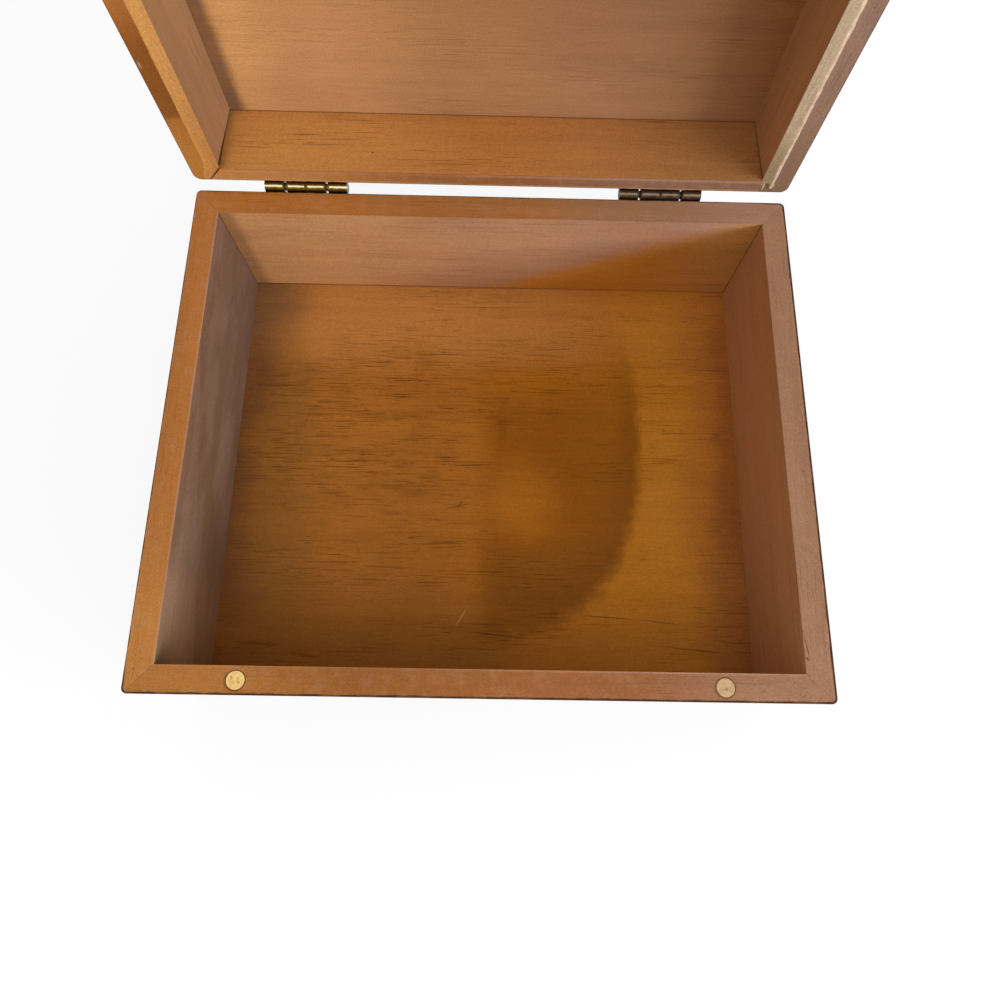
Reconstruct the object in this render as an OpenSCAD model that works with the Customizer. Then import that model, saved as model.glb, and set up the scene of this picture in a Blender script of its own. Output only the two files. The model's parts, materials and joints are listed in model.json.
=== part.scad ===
// Hinged wooden box for photos, papers and keepsakes, shown standing open.
// Origin: middle of the underside. X runs left to right, Y front to back, Z up.

/* [Box] */
// Outside width, left to right
box_w = 216; // [160:1:320]
// Outside depth, front to back
box_d = 178; // [130:1:280]
// Height inside the base, from its floor to its rim
base_inside_h = 45.5; // [30:0.5:120]
// Height inside the lid, from its rim to its top panel
lid_inside_h = 28; // [20:1:80]
// Radius of the base's upright outer corners
base_corner_r = 1.8; // [0.5:0.1:4]
// Radius of the lid's upright outer corners
lid_corner_r = 2.4; // [0.5:0.1:4]

/* [Boards] */
// Thickness of the base's left and right boards
base_side_t = 8.7; // [6:0.1:14]
// Thickness of the base's front board
base_front_t = 8.7; // [8:0.1:14]
// Thickness of the base's back board
base_back_t = 9.1; // [6:0.1:14]
// Thickness of the lid's left and right boards
lid_side_t = 10.4; // [7.5:0.1:14]
// Thickness of the lid's front board
lid_front_t = 8.7; // [8:0.1:14]
// Thickness of the lid's back board
lid_back_t = 5; // [4.8:0.1:14]
// Thickness of the bottom panel
bottom_t = 5; // [3:0.1:10]
// Thickness of the lid's top panel
top_t = 5; // [3:0.1:10]

/* [Lid rim] */
// Width of the flat band outside the bevel of the lid's side boards
rim_flat_w = 6; // [4:0.1:7]
// Height of that bevel on the boards' inner faces
bevel_h = 0.6; // [0.4:0.1:4]
// Gap between the two rims when the lid is shut
rim_gap = 0.3; // [0.2:0.05:0.8]

/* [Catch] */
// Diameter of a catch magnet
magnet_d = 5.8; // [4:0.1:6.4]
// Thickness of a catch magnet
magnet_t = 3; // [2:0.1:6]
// Distance of a magnet's middle from the box's outside
magnet_inset = 33.8; // [16:0.1:60]
// Radial gap between a magnet and its pocket
magnet_clear = 0.15; // [0.05:0.05:0.4]

/* [Hinges] */
// Length of a hinge
hinge_l = 30; // [24:0.5:40]
// Distance of the left hinge's middle from the box's left side
hinge_left_inset = 40; // [28:0.5:60]
// Distance of the right hinge's middle from the box's right side
hinge_right_inset = 46; // [28:0.5:60]
// Angle that the lid opens to
open_angle = 93.5; // [90:0.5:100]
// Diameter of the hinge barrel
barrel_d = 4.2; // [3.8:0.1:6]
// Diameter of the hinge pin
pin_d = 2.4; // [1.6:0.1:2.6]
// Thickness of a leaf
leaf_t = 0.9; // [0.7:0.1:1.2]
// Height of a leaf from the pin's middle to its far edge
leaf_reach = 11.5; // [10:0.5:16]
// Radius of a leaf's far corners
leaf_corner_r = 1.5; // [0.5:0.1:3]
// Gap between the barrel and the back boards
barrel_clear = 0.3; // [0.2:0.05:0.8]
// Radial gap between the pin and the lid leaf's knuckles
pin_play = 0.05; // [0.02:0.01:0.1]
// Radial gap between the pin and the base leaf's knuckles
pin_grip = 0.01; // [0.01:0.01:0.03]
// Gap between the middle two knuckles
middle_gap = 0.2; // [0.1:0.05:0.5]
// Gap between an end knuckle and its neighbour
end_gap = 0.9; // [0.3:0.05:1.5]
// Gap between a leaf's notch and the knuckle that turns in it
notch_clear = 0.25; // [0.15:0.05:0.6]
// How far the stop lug reaches from the pin's middle
stop_reach = 3; // [2.8:0.1:3.6]
// Thickness of the stop lug
stop_t = 1; // [0.6:0.1:1.4]
// Distance of the stop lug from its knuckle's ends
stop_inset = 0.4; // [0.2:0.1:1]
// Gap left at the stop when the lid stands open
stop_gap = 0.05; // [0.03:0.01:0.1]

/* [Hinge screws] */
// Length of a screw
screw_l = 4.8; // [4:0.1:5]
// Diameter of a screw's shank
screw_d = 1.8; // [1.4:0.1:2.4]
// Diameter of a screw's head
screw_head_d = 3.6; // [3:0.1:4.4]
// Height of a screw's countersunk head
screw_head_h = 1.1; // [0.8:0.1:1.4]
// Height of a screw's point
screw_point_h = 1.2; // [0.8:0.1:1.6]
// Width of a screw's slot
screw_slot_w = 0.5; // [0.4:0.1:0.8]
// Depth of a screw's slot
screw_slot_h = 0.4; // [0.3:0.1:0.6]
// Distance of a screw from the end of its leaf
screw_end_inset = 6; // [4:0.5:9]
// Distance of a screw from the far edge of its leaf
screw_edge_inset = 4; // [3:0.5:6]
// Gap round a screw in its holes
screw_clear = 0.03; // [0.02:0.01:0.1]

/* [Hidden] */
$fn = 64;

// Length by which a cutter runs past the face that it opens
past = 1;

// Heights of the rims with the lid shut
base_rim_z = bottom_t + base_inside_h;
lid_rim_z = base_rim_z + rim_gap;

// Hinge axis: halfway between the rims, one barrel radius and a gap behind the back boards
barrel_r = barrel_d / 2;
pin_r = pin_d / 2;
axis_back = barrel_r + barrel_clear;
axis_y = box_d / 2 + axis_back;
axis_z = base_rim_z + rim_gap / 2;
hinge_left_x = -box_w / 2 + hinge_left_inset;
hinge_right_x = box_w / 2 - hinge_right_inset;

// Knuckles are numbered 0 to 3 from the left: 0 and 2 are the base leaf's, 1 and 3 the lid leaf's
knuckle_l = (hinge_l - 2 * end_gap - middle_gap) / 4;
knuckle_x = [-hinge_l / 2,
             -hinge_l / 2 + knuckle_l + end_gap,
             hinge_l / 2 - 2 * knuckle_l - end_gap,
             hinge_l / 2 - knuckle_l];
base_knuckles = [0, 2];
lid_knuckles = [1, 3];

// Back face of a leaf on its board, and the edge of its notches, measured from the pin's middle
leaf_face_y = -axis_back + leaf_t;
notch_z = sqrt(max(0.01, pow(barrel_r + notch_clear, 2) - pow(leaf_face_y, 2)));

// The magnets of both rims share the middle of the thinner front board
magnet_y = -box_d / 2 + min(base_front_t, lid_front_t) / 2;
magnet_x = box_w / 2 - magnet_inset;

wood = "#b07440";
wood_dark = "#9a6238";
panel_wood = "#a8692f";
brass = "#b8964e";
bronze = "#6e5a34";

// Turns what is drawn for a shut lid to the open lid
module opened() {
    translate([0, axis_y, axis_z])
        rotate([-open_angle, 0, 0])
            translate([0, -axis_y, -axis_z])
                children();
}

// Box outline with round corners
module outline(r) {
    square([box_w - 2 * r, box_d], center = true);
    square([box_w, box_d - 2 * r], center = true);
    for (x = [-1, 1], y = [-1, 1])
        translate([x * (box_w / 2 - r), y * (box_d / 2 - r)])
            circle(r);
}

// Wedge between the end joints of one side's board. The joints run outwards at 45 degrees from
// the inner corners, also where the boards differ in thickness.
module wedge(side, side_t, front_t, back_t) {
    x = box_w / 2 - side_t;
    front = -box_d / 2 + front_t;
    back = box_d / 2 - back_t;
    out = max(side_t, front_t, back_t) + past;
    if (side == "front")
        polygon([[-x, front], [x, front], [x + out, front - out], [-x - out, front - out]]);
    if (side == "back")
        polygon([[-x, back], [x, back], [x + out, back + out], [-x - out, back + out]]);
    if (side == "left")
        polygon([[-x, front], [-x, back], [-x - out, back + out], [-x - out, front - out]]);
    if (side == "right")
        polygon([[x, front], [x, back], [x + out, back + out], [x + out, front - out]]);
}

// Mitred board of the base, from the bottom panel up to the rim
module base_board(side) {
    translate([0, 0, bottom_t])
        linear_extrude(base_inside_h)
            intersection() {
                outline(base_corner_r);
                wedge(side, base_side_t, base_front_t, base_back_t);
            }
}

// Mitred board of the shut lid, from the rim up to the top panel
module lid_board(side) {
    translate([0, 0, lid_rim_z])
        linear_extrude(lid_inside_h)
            intersection() {
                outline(lid_corner_r);
                wedge(side, lid_side_t, lid_front_t, lid_back_t);
            }
}

// Magnet or its pocket, sunk from a rim at height z: down into the base or up into the lid
module magnet(x, z, way, clear) {
    translate([x, magnet_y, z])
        mirror([0, 0, way == "down" ? 1 : 0])
            cylinder(h = magnet_t + clear, r = magnet_d / 2 + clear);
}

// Both pockets of a rim, cut a little past the rim
module magnet_pockets(z, way) {
    for (x = [-magnet_x, magnet_x]) {
        magnet(x, z, way, magnet_clear);
        magnet(x, z + (way == "down" ? past : -past), way, magnet_clear);
    }
}

// Bevel cutter along the inner rim edge of the shut lid's right board
module bevel_cutter() {
    flat_x = box_w / 2 - rim_flat_w;
    run = lid_side_t - rim_flat_w;
    more = (run + past) / run;
    end_x = flat_x - run * more;
    translate([0, box_d / 2 + past, lid_rim_z])
        rotate([90, 0, 0])
            linear_extrude(box_d + 2 * past)
                polygon([[flat_x, 0], [end_x, bevel_h * more], [end_x, -past], [flat_x, -past]]);
}

// Places of the two screws of the leaf on the base or on the lid, measured from the pin's middle
module at_screws(part) {
    up = part == "base" ? -1 : 1;
    for (x = [-1, 1])
        translate([x * (hinge_l / 2 - screw_end_inset), leaf_face_y, up * (leaf_reach - screw_edge_inset)])
            children();
}

// Screw along Y, its head's top at the origin and its point towards the front
module screw_shape(clear) {
    shank_r = screw_d / 2 + clear;
    shank_l = screw_l - screw_point_h;
    rotate([90, 0, 0]) {
        cylinder(h = screw_head_h, r1 = screw_head_d / 2 + clear, r2 = shank_r);
        cylinder(h = shank_l, r = shank_r);
        translate([0, 0, shank_l])
            cylinder(h = screw_point_h + clear, r1 = shank_r, r2 = shank_r / 6);
    }
}

// Slotted countersunk screw
module screw() {
    difference() {
        screw_shape(0);
        translate([-screw_head_d / 2 - past, -screw_slot_h, -screw_slot_w / 2])
            cube([screw_head_d + 2 * past, screw_slot_h + past, screw_slot_w]);
    }
}

// The holes of a leaf and its board
module screw_holes(part) {
    at_screws(part) {
        screw_shape(screw_clear);
        rotate([-90, 0, 0])
            cylinder(h = past, r = screw_head_d / 2 + screw_clear);
    }
}

// Holes in a back board for the screws of both hinges
module board_screw_holes(part) {
    for (x = [hinge_left_x, hinge_right_x])
        translate([x, axis_y, axis_z])
            screw_holes(part);
}

// Leaf outline, seen from behind, hanging down from the pin's middle
module leaf_outline() {
    corner_x = hinge_l / 2 - leaf_corner_r;
    translate([-hinge_l / 2, -leaf_reach + leaf_corner_r])
        square([hinge_l, leaf_reach - leaf_corner_r]);
    translate([-corner_x, -leaf_reach])
        square([2 * corner_x, leaf_corner_r]);
    for (x = [-corner_x, corner_x])
        translate([x, -leaf_reach + leaf_corner_r])
            circle(leaf_corner_r);
}

// Stretch of a leaf between two places along it, where the other leaf's knuckle turns
module notch(from_x, to_x) {
    translate([from_x, -axis_back - past, -notch_z])
        cube([to_x - from_x, leaf_t + 2 * past, notch_z + past]);
}

// Flat part of a leaf, hanging down, with notches between its own knuckles
module leaf_plate(own) {
    difference() {
        translate([0, leaf_face_y, 0])
            rotate([90, 0, 0])
                linear_extrude(leaf_t)
                    leaf_outline();
        if (own == base_knuckles) {
            notch(knuckle_x[0] + knuckle_l, knuckle_x[2]);
            notch(knuckle_x[2] + knuckle_l, hinge_l / 2 + past);
        } else {
            notch(-hinge_l / 2 - past, knuckle_x[1]);
            notch(knuckle_x[1] + knuckle_l, knuckle_x[3]);
        }
    }
}

// Row of cylinders along the pin, one for each knuckle of a leaf
module knuckles(own) {
    for (i = own)
        translate([knuckle_x[i], 0, 0])
            rotate([0, 90, 0])
                cylinder(h = knuckle_l, r = barrel_r);
}

// Hole for the pin through all the knuckles
module pin_hole(gap) {
    translate([-hinge_l / 2 - past, 0, 0])
        rotate([0, 90, 0])
            cylinder(h = hinge_l + 2 * past, r = pin_r + gap);
}

// Lugs on the lid leaf's knuckles, drawn where they meet the base leaf with the lid open
module stop_lugs() {
    for (i = lid_knuckles)
        translate([knuckle_x[i] + stop_inset, leaf_face_y + stop_gap, -stop_reach])
            cube([knuckle_l - 2 * stop_inset, stop_t, stop_reach - pin_r]);
}

// Leaf on the base, with its knuckles
module base_leaf(x) {
    color(bronze)
        translate([x, axis_y, axis_z])
            difference() {
                union() {
                    leaf_plate(base_knuckles);
                    knuckles(base_knuckles);
                }
                pin_hole(pin_grip);
                screw_holes("base");
            }
}

// Leaf on the lid, with its knuckles and stop lugs
module lid_leaf(x) {
    color(bronze)
        translate([x, axis_y, axis_z])
            rotate([-open_angle, 0, 0])
                difference() {
                    union() {
                        mirror([0, 0, 1])
                            leaf_plate(lid_knuckles);
                        knuckles(lid_knuckles);
                        rotate([open_angle, 0, 0])
                            stop_lugs();
                    }
                    pin_hole(pin_play);
                    screw_holes("lid");
                }
}

// Pin of a hinge, held by the base leaf
module pin(x) {
    color(brass)
        translate([x - hinge_l / 2, axis_y, axis_z])
            rotate([0, 90, 0])
                cylinder(h = hinge_l, r = pin_r);
}

// Two screws that hold a leaf to the base
module base_screws(x) {
    color(brass)
        translate([x, axis_y, axis_z])
            at_screws("base")
                screw();
}

// Two screws that hold a leaf to the lid
module lid_screws(x) {
    color(brass)
        translate([x, axis_y, axis_z])
            rotate([-open_angle, 0, 0])
                at_screws("lid")
                    screw();
}

module base_front_board() {
    color(wood)
        difference() {
            base_board("front");
            magnet_pockets(base_rim_z, "down");
        }
}

module base_back_board() {
    color(wood)
        difference() {
            base_board("back");
            board_screw_holes("base");
        }
}

module base_left_board() {
    color(wood_dark)
        base_board("left");
}

module base_right_board() {
    color(wood_dark)
        base_board("right");
}

module base_bottom_panel() {
    color(panel_wood)
        linear_extrude(bottom_t)
            outline(base_corner_r);
}

module base_magnet_left() {
    color(brass)
        magnet(-magnet_x, base_rim_z, "down", 0);
}

module base_magnet_right() {
    color(brass)
        magnet(magnet_x, base_rim_z, "down", 0);
}

module lid_front_board() {
    color(wood)
        opened()
            difference() {
                lid_board("front");
                magnet_pockets(lid_rim_z, "up");
            }
}

module lid_back_board() {
    color(wood)
        opened()
            difference() {
                lid_board("back");
                board_screw_holes("lid");
            }
}

module lid_left_board() {
    color(wood_dark)
        opened()
            difference() {
                lid_board("left");
                mirror([1, 0, 0])
                    bevel_cutter();
            }
}

module lid_right_board() {
    color(wood_dark)
        opened()
            difference() {
                lid_board("right");
                bevel_cutter();
            }
}

module lid_top_panel() {
    color(panel_wood)
        opened()
            translate([0, 0, lid_rim_z + lid_inside_h])
                linear_extrude(top_t)
                    outline(lid_corner_r);
}

module lid_magnet_left() {
    color(brass)
        opened()
            magnet(-magnet_x, lid_rim_z, "up", 0);
}

module lid_magnet_right() {
    color(brass)
        opened()
            magnet(magnet_x, lid_rim_z, "up", 0);
}

base_front_board();
base_back_board();
base_left_board();
base_right_board();
base_bottom_panel();
base_magnet_left();
base_magnet_right();
lid_front_board();
lid_back_board();
lid_left_board();
lid_right_board();
lid_top_panel();
lid_magnet_left();
lid_magnet_right();
base_leaf(hinge_left_x);  // hinge_left_base_leaf
lid_leaf(hinge_left_x);  // hinge_left_lid_leaf
pin(hinge_left_x);  // hinge_left_pin
base_screws(hinge_left_x);  // hinge_left_base_screws
lid_screws(hinge_left_x);  // hinge_left_lid_screws
base_leaf(hinge_right_x);  // hinge_right_base_leaf
lid_leaf(hinge_right_x);  // hinge_right_lid_leaf
pin(hinge_right_x);  // hinge_right_pin
base_screws(hinge_right_x);  // hinge_right_base_screws
lid_screws(hinge_right_x);  // hinge_right_lid_screws
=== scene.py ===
import json
import math
import random

import bmesh
import bpy
from mathutils import Euler, Matrix, Vector


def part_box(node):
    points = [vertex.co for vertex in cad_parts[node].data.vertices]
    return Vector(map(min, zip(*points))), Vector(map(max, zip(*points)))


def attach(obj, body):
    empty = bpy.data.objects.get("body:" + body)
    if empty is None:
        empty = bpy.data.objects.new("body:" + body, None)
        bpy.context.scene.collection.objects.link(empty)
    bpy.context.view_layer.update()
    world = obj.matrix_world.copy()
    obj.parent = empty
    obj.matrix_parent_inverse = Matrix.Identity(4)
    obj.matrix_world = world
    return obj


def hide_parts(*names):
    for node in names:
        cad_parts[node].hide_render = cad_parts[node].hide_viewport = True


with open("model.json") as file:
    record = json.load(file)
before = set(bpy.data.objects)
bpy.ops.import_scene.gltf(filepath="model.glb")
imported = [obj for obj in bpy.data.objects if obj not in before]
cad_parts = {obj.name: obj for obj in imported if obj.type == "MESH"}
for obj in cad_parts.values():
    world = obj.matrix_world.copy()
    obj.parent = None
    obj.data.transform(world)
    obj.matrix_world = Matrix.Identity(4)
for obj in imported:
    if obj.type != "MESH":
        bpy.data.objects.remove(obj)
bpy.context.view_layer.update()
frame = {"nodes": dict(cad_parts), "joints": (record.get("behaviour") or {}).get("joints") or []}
nodes = frame["nodes"]

# Units: places and sizes in the materials are in millimetres, Blender objects are in metres.
MM = 0.001

# The box's own sizes, read from the frame
HINGE = frame["joints"][0]
AXIS = Vector(HINGE["pos_m"]) / MM
OPEN = math.radians(HINGE["range_deg"][1])
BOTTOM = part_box("base_bottom_panel")
HALF_W = BOTTOM[1].x / MM
HALF_D = BOTTOM[1].y / MM
FLOOR_Z = BOTTOM[1].z / MM
RIM_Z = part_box("base_left_board")[1].z / MM
LID_RIM_Z = 2 * AXIS.z - RIM_Z
TO_SHUT = Matrix.Translation(AXIS) @ Matrix.Rotation(OPEN, 4, "X") @ Matrix.Translation(-AXIS)


def shut_box(node):
    """Lowest and highest corner of a lid node with the lid shut, in millimetres."""
    points = [TO_SHUT @ (v.co / MM) for v in nodes[node].data.vertices]
    low = Vector([min(p[i] for p in points) for i in range(3)])
    high = Vector([max(p[i] for p in points) for i in range(3)])
    return low, high


LID_TOP_Z = shut_box("lid_top_panel")[1].z
LID_PANEL_Z = shut_box("lid_top_panel")[0].z
LID_SIDE_IN = shut_box("lid_right_board")[0].x
BASE_SIDE_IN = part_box("base_right_board")[0].x / MM
BASE_BACK_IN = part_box("base_back_board")[0].y / MM
BASE_FRONT_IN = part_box("base_front_board")[1].y / MM
LID_BACK_IN = shut_box("lid_back_board")[0].y
LID_FRONT_IN = shut_box("lid_front_board")[1].y
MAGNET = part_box("base_magnet_right")
MAGNET_X = (MAGNET[0].x + MAGNET[1].x) / 2 / MM
MAGNET_Y = (MAGNET[0].y + MAGNET[1].y) / 2 / MM
MAGNET_R = (MAGNET[1].x - MAGNET[0].x) / 2 / MM
MAGNET_DEPTH = (MAGNET[1].z - MAGNET[0].z) / MM
MAGNET_Z = MAGNET[1].z / MM
LID_MAGNET_Z = shut_box("lid_magnet_right")[0].z

# Where the flat band of the lid's side rims ends and its bevel begins
RIM_FLAT = 6
RIM_FLAT_X = HALF_W - RIM_FLAT

# Radii of the box's upright outer edges
BASE_CORNER_R = 1.8
LID_CORNER_R = 2.4

# How far a catch disc reaches past its magnet, into the gap round it in the pocket
DISC_OVER = 0.1


def tone(red, green, blue):
    """Colour from 0 to 255 as it should look on a screen."""
    parts = [c / 255 for c in (red, green, blue)]
    linear = [p / 12.92 if p <= 0.04045 else ((p + 0.055) / 1.055) ** 2.4 for p in parts]
    return (*linear, 1.0)


class Graph:
    """Node tree of a material or a world. Most calls add nodes and return an output socket."""

    def __init__(self, owner):
        self.owner = owner
        owner.use_nodes = True
        self.tree = owner.node_tree
        self.tree.nodes.clear()

    def node(self, kind, inputs=None, **settings):
        made = self.tree.nodes.new("ShaderNode" + kind)
        for key, value in settings.items():
            setattr(made, key, value)
        for key, value in (inputs or {}).items():
            self.feed(made.inputs[key], value)
        return made

    def feed(self, socket, value):
        if isinstance(value, bpy.types.NodeSocket):
            self.tree.links.new(value, socket)
        else:
            socket.default_value = value

    def math(self, operation, first, second=0.0):
        return self.node("Math", {0: first, 1: second}, operation=operation).outputs[0]

    def product(self, first, *others):
        for other in others:
            first = self.math("MULTIPLY", first, other)
        return first

    def vector(self, operation, first, second=(0, 0, 0)):
        made = self.node("VectorMath", {0: first, 1: second}, operation=operation)
        return made.outputs["Value" if operation == "LENGTH" else "Vector"]

    def soft(self, value, start, end, low=0.0, high=1.0):
        """low up to start, high from end on, smooth in between."""
        inputs = {"Value": value, "From Min": start, "From Max": end, "To Min": low, "To Max": high}
        return self.node("MapRange", inputs, interpolation_type="SMOOTHSTEP").outputs[0]

    def mix(self, factor, first, second, how="MIX"):
        made = self.node("Mix", {}, data_type="RGBA", blend_type=how)
        for socket, value in zip((made.inputs[0], made.inputs[6], made.inputs[7]), (factor, first, second)):
            self.feed(socket, value)
        return made.outputs[2]

    def tint(self, colour, shade, share, strength):
        """The colour with shade laid over it by share times strength."""
        return self.mix(self.math("MULTIPLY", share, strength), colour, shade)

    def sway(self, noise, amount):
        """Noise moved to lie round 0 and scaled by amount."""
        return self.math("MULTIPLY", self.math("SUBTRACT", noise, 0.5), amount)

    def split(self, place):
        made = self.node("SeparateXYZ", {0: place})
        return made.outputs[0], made.outputs[1], made.outputs[2]

    def place(self, lid):
        """The surface point in millimetres, in the frame of the shut box."""
        inputs = {"Vector": self.node("TexCoord").outputs["Object"], "Scale": (1 / MM,) * 3}
        if lid:
            inputs["Location"] = TO_SHUT.to_translation()
            inputs["Rotation"] = TO_SHUT.to_euler()
        return self.node("Mapping", inputs).outputs[0]

    def noise(self, place, size, detail=2.0, seed=0.0, distortion=0.0):
        """Noise whose features are about size long along X, Y and Z."""
        scaled = self.node("Mapping", {"Vector": place, "Location": (seed, seed * 1.7, seed * 2.3),
                                       "Scale": tuple(1 / s for s in size)}).outputs[0]
        inputs = {"Vector": scaled, "Scale": 1.0, "Detail": detail, "Distortion": distortion}
        return self.node("TexNoise", inputs).outputs["Fac"]

    def spot(self, place, centre, radii, edge=0.5, turn=(0, 0, 0), wobble=0.0, wobble_size=12, seed=0.0):
        """1 inside an ellipsoid and 0 outside it, with a soft and uneven edge."""
        inputs = {"Vector": place, "Location": centre, "Rotation": [math.radians(a) for a in turn],
                  "Scale": radii}
        unit = self.node("Mapping", inputs, vector_type="TEXTURE").outputs[0]
        reach = self.vector("LENGTH", unit)
        if wobble:
            uneven = self.noise(place, (wobble_size,) * 3, seed=seed)
            reach = self.math("ADD", reach, self.sway(uneven, wobble))
        return self.soft(reach, 1.0, 1.0 - edge)

    def scratch(self, place, start, end, width, edge=0.6):
        """1 along a thin straight mark from start to end, both on one plane."""
        start, end = Vector(start), Vector(end)
        middle = (start + end) / 2
        turn = [math.degrees(a) for a in (end - start).to_track_quat("X", "Z").to_euler()]
        return self.spot(place, middle, ((end - start).length / 2, width / 2, width / 2), edge, turn)

    def end(self, shader, kind="OutputMaterial"):
        """Shows the shader and returns what the tree belongs to."""
        self.tree.links.new(shader.outputs[0], self.node(kind).inputs[0])
        return self.owner

    def seen(self):
        """1 for what the camera and reflections see, 0 for the light that falls on the box."""
        path = self.node("LightPath")
        mirrored = self.math("MAXIMUM", path.outputs["Is Glossy Ray"], path.outputs["Is Transmission Ray"])
        return self.math("MAXIMUM", path.outputs["Is Camera Ray"], mirrored)

    def finish(self, colour, roughness, height, **settings):
        """The material, with its shader. height is in millimetres."""
        bump = self.node("Bump", {"Height": height, "Distance": MM, "Strength": 1.0})
        inputs = {"Base Color": colour, "Roughness": roughness, "Normal": bump.outputs[0]}
        for key, value in settings.items():
            inputs[key.replace("_", " ").title().replace("Ior", "IOR")] = value
        return self.end(self.node("BsdfPrincipled", inputs))


def along(grain, length, across):
    """Noise feature size, length along the grain and across it on the other two."""
    return tuple(length if axis == grain else across for axis in "xyz")


def wood_figure(g, place, grain, seed):
    """Brightness of the wood round 1, the share of dark pores, and the height of the surface."""
    clouds = g.noise(place, along(grain, 70, 28), detail=3, seed=seed)
    bands = g.noise(place, along(grain, 150, 5), detail=3, seed=seed + 11, distortion=0.3)
    fibres = g.noise(place, along(grain, 12, 0.7), detail=3, seed=seed + 23, distortion=0.2)
    speckle = g.noise(place, (0.5, 0.5, 0.5), detail=2, seed=seed + 29)
    bright = g.math("ADD", g.soft(clouds, 0.3, 0.7, 0.94, 1.06), g.soft(bands, 0.3, 0.7, -0.045, 0.045))
    bright = g.math("ADD", bright, g.soft(fibres, 0.3, 0.7, -0.035, 0.035))
    bright = g.math("ADD", bright, g.soft(speckle, 0.3, 0.7, -0.1, 0.1))
    dense = g.soft(g.noise(place, along(grain, 45, 13), detail=2, seed=seed + 31), 0.42, 0.62)
    short = g.noise(place, along(grain, 5, 0.5), detail=1, seed=seed + 47)
    long = g.noise(place, along(grain, 22, 0.6), detail=2, seed=seed + 53)
    gathered = g.math("ADD", g.math("MULTIPLY", dense, 0.7), 0.3)
    pores = g.math("MULTIPLY", g.soft(short, 0.62, 0.74), gathered)
    pores = g.math("MAXIMUM", pores, g.math("MULTIPLY", g.soft(long, 0.58, 0.66), dense))
    height = g.math("MULTIPLY", fibres, 0.014)
    height = g.math("ADD", height, g.math("MULTIPLY", speckle, 0.008))
    height = g.math("SUBTRACT", height, g.math("MULTIPLY", pores, 0.05))
    return bright, pores, height


def from_rim(g, z, lid):
    """Depth of height z behind the rim of the lid or of the base."""
    return g.math("SUBTRACT", z, LID_RIM_Z) if lid else g.math("SUBTRACT", RIM_Z, z)


def outer_distance(g, place, lid):
    """Distance in from the box's outside, with its upright edges round, and to its nearest outer edge."""
    x, y, z = g.split(place)
    corner_r = LID_CORNER_R if lid else BASE_CORNER_R
    over_x = g.math("SUBTRACT", g.math("ABSOLUTE", x), HALF_W - corner_r)
    over_y = g.math("SUBTRACT", g.math("ABSOLUTE", y), HALF_D - corner_r)
    beyond = g.node("CombineXYZ", {0: g.math("MAXIMUM", over_x, 0.0), 1: g.math("MAXIMUM", over_y, 0.0)})
    within = g.math("MINIMUM", g.math("MAXIMUM", over_x, over_y), 0.0)
    plan = g.math("SUBTRACT", corner_r, g.math("ADD", g.vector("LENGTH", beyond.outputs[0]), within))
    face = g.math("SUBTRACT", LID_TOP_Z, z) if lid else z
    gap_x = g.math("SUBTRACT", corner_r, over_x)
    gap_y = g.math("SUBTRACT", corner_r, over_y)
    gap_z = g.math("MINIMUM", face, from_rim(g, z, lid))
    nearer = g.math("MINIMUM", g.math("MAXIMUM", gap_x, gap_y), gap_z)
    edge = g.math("MAXIMUM", g.math("MINIMUM", gap_x, gap_y), nearer)
    return g.math("MINIMUM", plan, face), edge


def blend_along(g, value, stops):
    """Colour that changes smoothly along value. stops are (value, colour) pairs in rising order."""
    colour = stops[0][1]
    for (before, _), (after, shade) in zip(stops, stops[1:]):
        colour = g.mix(g.soft(value, before, after), colour, shade)
    return colour


def wander(g, value, place, size, amount, seed):
    """The value with slow noise added, so that a border on it isn't straight."""
    noise = g.noise(place, (size,) * 3, detail=3, seed=seed)
    return g.math("ADD", value, g.sway(noise, amount))


# Tones that more than one mark or material uses, and those of the outside finish and the hinges
SMUDGE = tone(98, 66, 12)
SCRATCH = tone(66, 34, 8)
PORE = tone(70, 38, 10)
JOINT = tone(90, 34, 6)
VEIN = tone(96, 52, 10)
DISC_GAP_SHADE = tone(112, 66, 18)
EXTERIOR = tone(44, 33, 28)
# Painted shade of the gap round each catch disc, on the wood and on the disc's edge
EXTERIOR_LIGHT = tone(62, 45, 36)
EXTERIOR_WORN = tone(124, 84, 54)
EXTERIOR_EDGE = tone(76, 44, 18)
HINGE_PLATE = tone(104, 82, 48)
HINGE_SCREW = tone(168, 136, 82)
HINGE_TARNISH = tone(60, 44, 26)

# Tints of the floor, from the left wall to the right one, with painted shade: dimmer next to each wall, and
# deeper orange over the right half that the right wall shades
FLOOR_TINTS_AND_SHADE = [
    (-97, tone(134, 86, 44)), (-82, tone(166, 109, 42)), (-62, tone(186, 116, 40)),
    (-20, tone(182, 112, 34)), (24, tone(194, 118, 20)), (60, tone(210, 136, 32)),
    (74, tone(213, 141, 42)), (88, tone(201, 130, 46)), (98, tone(175, 108, 46)),
]

# The oval that the curved edge of the floor's painted shadow is a part of. A power of 2 is an ellipse.
SHADOW_CENTRE = (-29.6, 83.3)
SHADOW_RADII = (78, 156.5)
SHADOW_TURN = 15.3
SHADOW_POWER = 2.5

# Centre and radii of each lighter patch within the painted shadow
SHADOW_GAPS = [((13, -14), (22, 24)), ((8, 54), (42, 40))]

# Centre, radii, turn in degrees and strength of each smudge on the floor
FLOOR_SMUDGES = [
    ((-26, 45), (6, 7), 20, 0.25), ((-60, 54), (7, 3), -30, 0.24), ((-19, 64), (6, 2), 10, 0.21),
    ((6, 17), (3, 14), 0, 0.36), ((-33, 0), (7, 5), -15, 0.25), ((-48, -30), (10, 4), 5, 0.21),
    ((-27, -12), (7, 3), 0, 0.23), ((-10, -17), (4, 3), 40, 0.25), ((-62, 30), (9, 12), 0, 0.18),
    ((-70, 5), (12, 5), 0, 0.15),
]

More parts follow.
